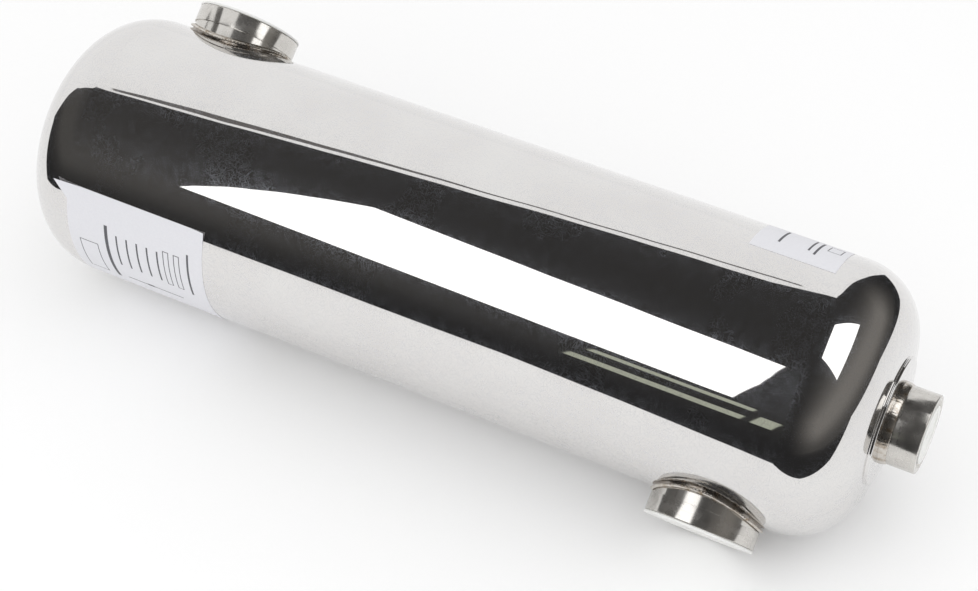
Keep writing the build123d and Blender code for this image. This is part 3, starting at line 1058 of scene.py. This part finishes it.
class EXCHANGER_OT_stage(bpy.types.Operator):
    """Sets up the white table, the softboxes, the dark room that the steel mirrors, and the camera"""

    bl_idname = "exchanger.stage"
    bl_label = "Stage"

    aim = Vector((19.3, -7.6, 63.2)) * MM
    table_half, room_half, room_height = 40.0, 3.0, 1.6
    table_front = (
        (-3.0, -0.13), (-0.94, -0.17), (-0.465, -0.17), (-0.485, -0.6), (-0.415, -0.67), (-0.25, -0.665),
        (-0.16, -0.735), (0.02, -0.54), (0.13, -0.41), (0.3, -0.236), (0.49, -0.182), (3.0, -0.215),
    )
    table_back = ((3.0, 1.5), (0.413, 0.498), (0.248, 0.588), (0.42, 3.0))
    ceiling_edge = (
        (0.0, 3.0), (-0.083, 1.471), (-0.15, 1.3), (-0.2, 1.03), (-0.405, 0.77), (-0.514, 0.576),
        (-0.886, 0.03), (-1.03, -0.11), (-1.2, -0.15), (-2.4, -0.02), (-3.0, 0.1),
    )
    wall_edge = ((0.03, 0.0), (0.03, 0.4), (0.1, 0.9), (0.1, 1.6))
    back_edge = ((0.42, 0.0), (0.275, 0.8), (0.0, 1.6))
    windows = ((-0.77, -0.43, 1.2, 1.35), (-0.77, -0.42, 0.68, 0.88), (-0.4, -0.35, 0.7, 1.1))
    batten = (
        (-1.02, -0.06), (-0.86, 0.12), (-0.53, 0.69), (-0.19, 1.29),
        (-0.2, 1.345), (-0.53, 0.735), (-0.87, 0.23), (-1.02, -0.01),
    )
    cards = ((-0.42, -0.3, 0.002, 0.06, 0.215), (-0.243, -0.165, 0.002, 0.06, 0.215))
    left_softbox = (
        (0.056, -0.376, 0.764), (0.052, -0.482, 0.661), (0.045, -0.558, 0.585), (0.02, -0.712, 0.425),
        (-0.41, -0.528, 0.391), (-0.281, -0.254, 0.717),
    )
    right_softbox = (
        (0.258, -0.11, 0.515), (0.232, 0.104, 0.514), (0.418, 0.188, 0.41), (0.478, -0.136, 0.4),
    )

    def execute(self, context):
        settings = context.scene.exchanger_stage
        scene = context.scene
        scene.view_settings.view_transform = "Standard"
        self.set_world(scene, settings)
        self.add_floor(settings)
        self.add_dark_room(settings)
        self.add_softbox("left_softbox", settings, self.left_softbox)
        self.add_softbox("right_softbox", settings, self.right_softbox)
        self.add_windows(settings)
        self.add_camera(scene, settings)
        return {"FINISHED"}

    def set_world(self, scene, settings):
        """White to the camera and in reflections, and a softer light on plain surfaces."""
        world = bpy.data.worlds.new("studio")
        scene.world = world
        world.use_nodes = True
        tree = world.node_tree
        tree.nodes.clear()
        strength = ranged(tree, seen_or_mirrored(tree), settings.ambient, 1)
        back = add_node(tree, "ShaderNodeBackground", {"Color": (1, 1, 1, 1), "Strength": strength})
        add_node(tree, "ShaderNodeOutputWorld", {"Surface": back.outputs[0]})

    def add_stage_mesh(self, name, points, faces, material, mirrored_only):
        mesh = bpy.data.meshes.new(name)
        mesh.from_pydata([tuple(p) for p in points], [], faces)
        mesh.materials.append(material)
        thing = bpy.data.objects.new(name, mesh)
        thing.location = SHELL_FOOT
        bpy.context.scene.collection.objects.link(thing)
        if mirrored_only:
            thing.visible_camera = thing.visible_diffuse = thing.visible_transmission = False
            thing.visible_shadow = thing.visible_volume_scatter = False
        return thing

    def glowing(self, name, tint, strength=1):
        """A plain light-giving material."""
        material, tree = new_material(name)
        finish_material(tree, glow(tree, (*tint, 1), strength))
        return material

    def add_floor(self, settings):
        """The white table top, which shows some plain white of its own where it lies open to the light."""
        material, tree = new_material("table_top_white_paper")
        grain = solid_noise(tree, body_place(tree), 2 * MM, 3)
        tone = toned(tree, grain, settings.floor, tuple(0.985 * c for c in settings.floor))
        lit = add_node(tree, "ShaderNodeBsdfDiffuse", {"Color": tone}).outputs[0]
        seen = combined(tree, "MULTIPLY", seen_or_mirrored(tree), settings.floor_glow)
        # None of it close under the shell, where the table lies in shadow
        open_sky = add_node(tree, "ShaderNodeAmbientOcclusion", {"Distance": 80 * MM}).outputs["AO"]
        share = combined(tree, "MULTIPLY", seen, open_sky)
        finish_material(tree, mixed(tree, share, lit, glow(tree, tone)))
        size = self.table_half
        corners = [(-size, -size, 0), (size, -size, 0), (size, size, 0), (-size, size, 0)]
        self.add_stage_mesh("table_top", corners, [(0, 1, 2, 3)], material, mirrored_only=False)

    def add_dark_room(self, settings):
        """The unlit room past the table's edges, which only the steel's reflections show."""
        half, top, above = self.room_half, self.room_height, 1 * MM
        ceiling = [(x, y, top) for x, y in self.ceiling_edge]
        ceiling += [(-half, -half, top), (half, -half, top), (half, half, top)]
        room = [
            [(x, y, above) for x, y in self.table_front] + [(half, -half, above), (-half, -half, above)],
            [(x, y, above) for x, y in self.table_back] + [(half, half, above)],
            [(x, half, z) for x, z in self.back_edge] + [(half, half, top), (half, half, 0)],
            [(-half, y, z) for y, z in self.wall_edge] + [(-half, -half, top), (-half, -half, 0)],
            [(-half, -half, 0), (half, -half, 0), (half, -half, top), (-half, -half, top)],
            [(half, -half, 0), (half, half, 0), (half, half, top), (half, -half, top)],
            ceiling,
        ]
        self.add_outlines("dark_room", room, self.room_glow(settings))

    def room_glow(self, settings):
        """The unlit room's tone: light gets in high up at its right side, less at its left one."""
        material, tree = new_material("unlit_room")
        along, _, height = add_node(tree, "ShaderNodeSeparateXYZ", {0: body_place(tree)}).outputs
        right = ranged(tree, along, 0.1, 1, 0.2, 2.8, "SMOOTHSTEP")
        left = ranged(tree, along, 0, 0.22, -0.4, -2.2, "SMOOTHSTEP")
        high = ranged(tree, height, 0.3, 1, 0, 1.2, "SMOOTHSTEP")
        share = combined(tree, "MULTIPLY", combined(tree, "ADD", right, left), high)
        finish_material(tree, glow(tree, toned(tree, share, settings.dark, settings.dark_sides)))
        return material

    def add_outlines(self, name, outlines, material):
        """Flat shapes of the room, each given by its outline, that only reflections show."""
        points, faces = [], []
        for outline in outlines:
            faces.append(tuple(range(len(points), len(points) + len(outline))))
            points += outline
        self.add_stage_mesh(name, points, faces, material, mirrored_only=True)

    def add_softbox(self, name, settings, corners):
        """A softbox that lights the shell and that its steel mirrors."""
        light = self.glowing(name, (1, 1, 1), settings.softbox)
        outline = tuple(range(len(corners)))
        softbox = self.add_stage_mesh(name, corners, [outline], light, mirrored_only=True)
        softbox.visible_diffuse = True

    def add_windows(self, settings):
        """Dim windows in the room's front wall, a batten along its ceiling, cards by the rear port."""
        wall = -self.room_half + 10 * MM
        panes = []
        for left, right, low, high in self.windows:
            panes.append([(left, wall, low), (right, wall, low), (right, wall, high), (left, wall, high)])
        self.add_outlines("windows", panes, self.glowing("windows", settings.window))
        batten = [(x, y, self.room_height) for x, y in self.batten]
        self.add_outlines("batten", [batten], self.glowing("batten", settings.batten))
        cards = []
        for left, right, front, rear, height in self.cards:
            corners = ((left, front), (right, front), (right, rear), (left, rear))
            cards.append([(x, y, height) for x, y in corners])
        self.add_outlines("white_cards", cards, self.glowing("white_cards", (1, 1, 1)))

    def add_camera(self, scene, settings):
        data = bpy.data.cameras.new("camera")
        data.sensor_width = 36
        data.lens = settings.lens
        camera = bpy.data.objects.new("camera", data)
        scene.collection.objects.link(camera)
        a, e = settings.azimuth, settings.elevation
        back = Vector((math.sin(a) * math.cos(e), -math.cos(a) * math.cos(e), math.sin(e)))
        camera.location = SHELL_FOOT + self.aim + back * settings.distance
        camera.rotation_mode = "QUATERNION"
        camera.rotation_quaternion = (-back).to_track_quat("-Z", "Y") @ Quaternion((0, 0, 1), settings.roll)
        scene.camera = camera


OPERATORS = (
    EXCHANGER_OT_stage,
    EXCHANGER_OT_shell,
    EXCHANGER_OT_ports,
    EXCHANGER_OT_caps,
    EXCHANGER_OT_stickers,
    EXCHANGER_OT_bundle,
)
SETTINGS = {
    "exchanger_stage": StageSettings,
    "exchanger_shell": ShellSettings,
    "exchanger_ports": PortSettings,
    "exchanger_caps": CapSettings,
    "exchanger_stickers": StickerSettings,
}


class EXCHANGER_PT_pieces(bpy.types.Panel):
    """Lists the pieces of the heat exchanger"""

    bl_idname = "EXCHANGER_PT_pieces"
    bl_label = "Heat exchanger"
    bl_space_type = "VIEW_3D"
    bl_region_type = "UI"
    bl_category = "Exchanger"

    def draw(self, context):
        for operator in OPERATORS:
            self.layout.operator(operator.bl_idname)


def register():
    for settings in SETTINGS.values():
        bpy.utils.register_class(settings)
    for name, settings in SETTINGS.items():
        setattr(bpy.types.Scene, name, bpy.props.PointerProperty(type=settings))
    for operator in OPERATORS:
        bpy.utils.register_class(operator)
    bpy.utils.register_class(EXCHANGER_PT_pieces)


def unregister():
    bpy.utils.unregister_class(EXCHANGER_PT_pieces)
    for operator in reversed(OPERATORS):
        bpy.utils.unregister_class(operator)
    for name in SETTINGS:
        delattr(bpy.types.Scene, name)
    for settings in reversed(SETTINGS.values()):
        bpy.utils.unregister_class(settings)


def main():
    register()
    bpy.ops.exchanger.stage()
    bpy.ops.exchanger.shell()
    bpy.ops.exchanger.ports()
    bpy.ops.exchanger.caps()
    bpy.ops.exchanger.stickers()
    bpy.ops.exchanger.bundle()
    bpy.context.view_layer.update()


if __name__ == "__main__":
    main()
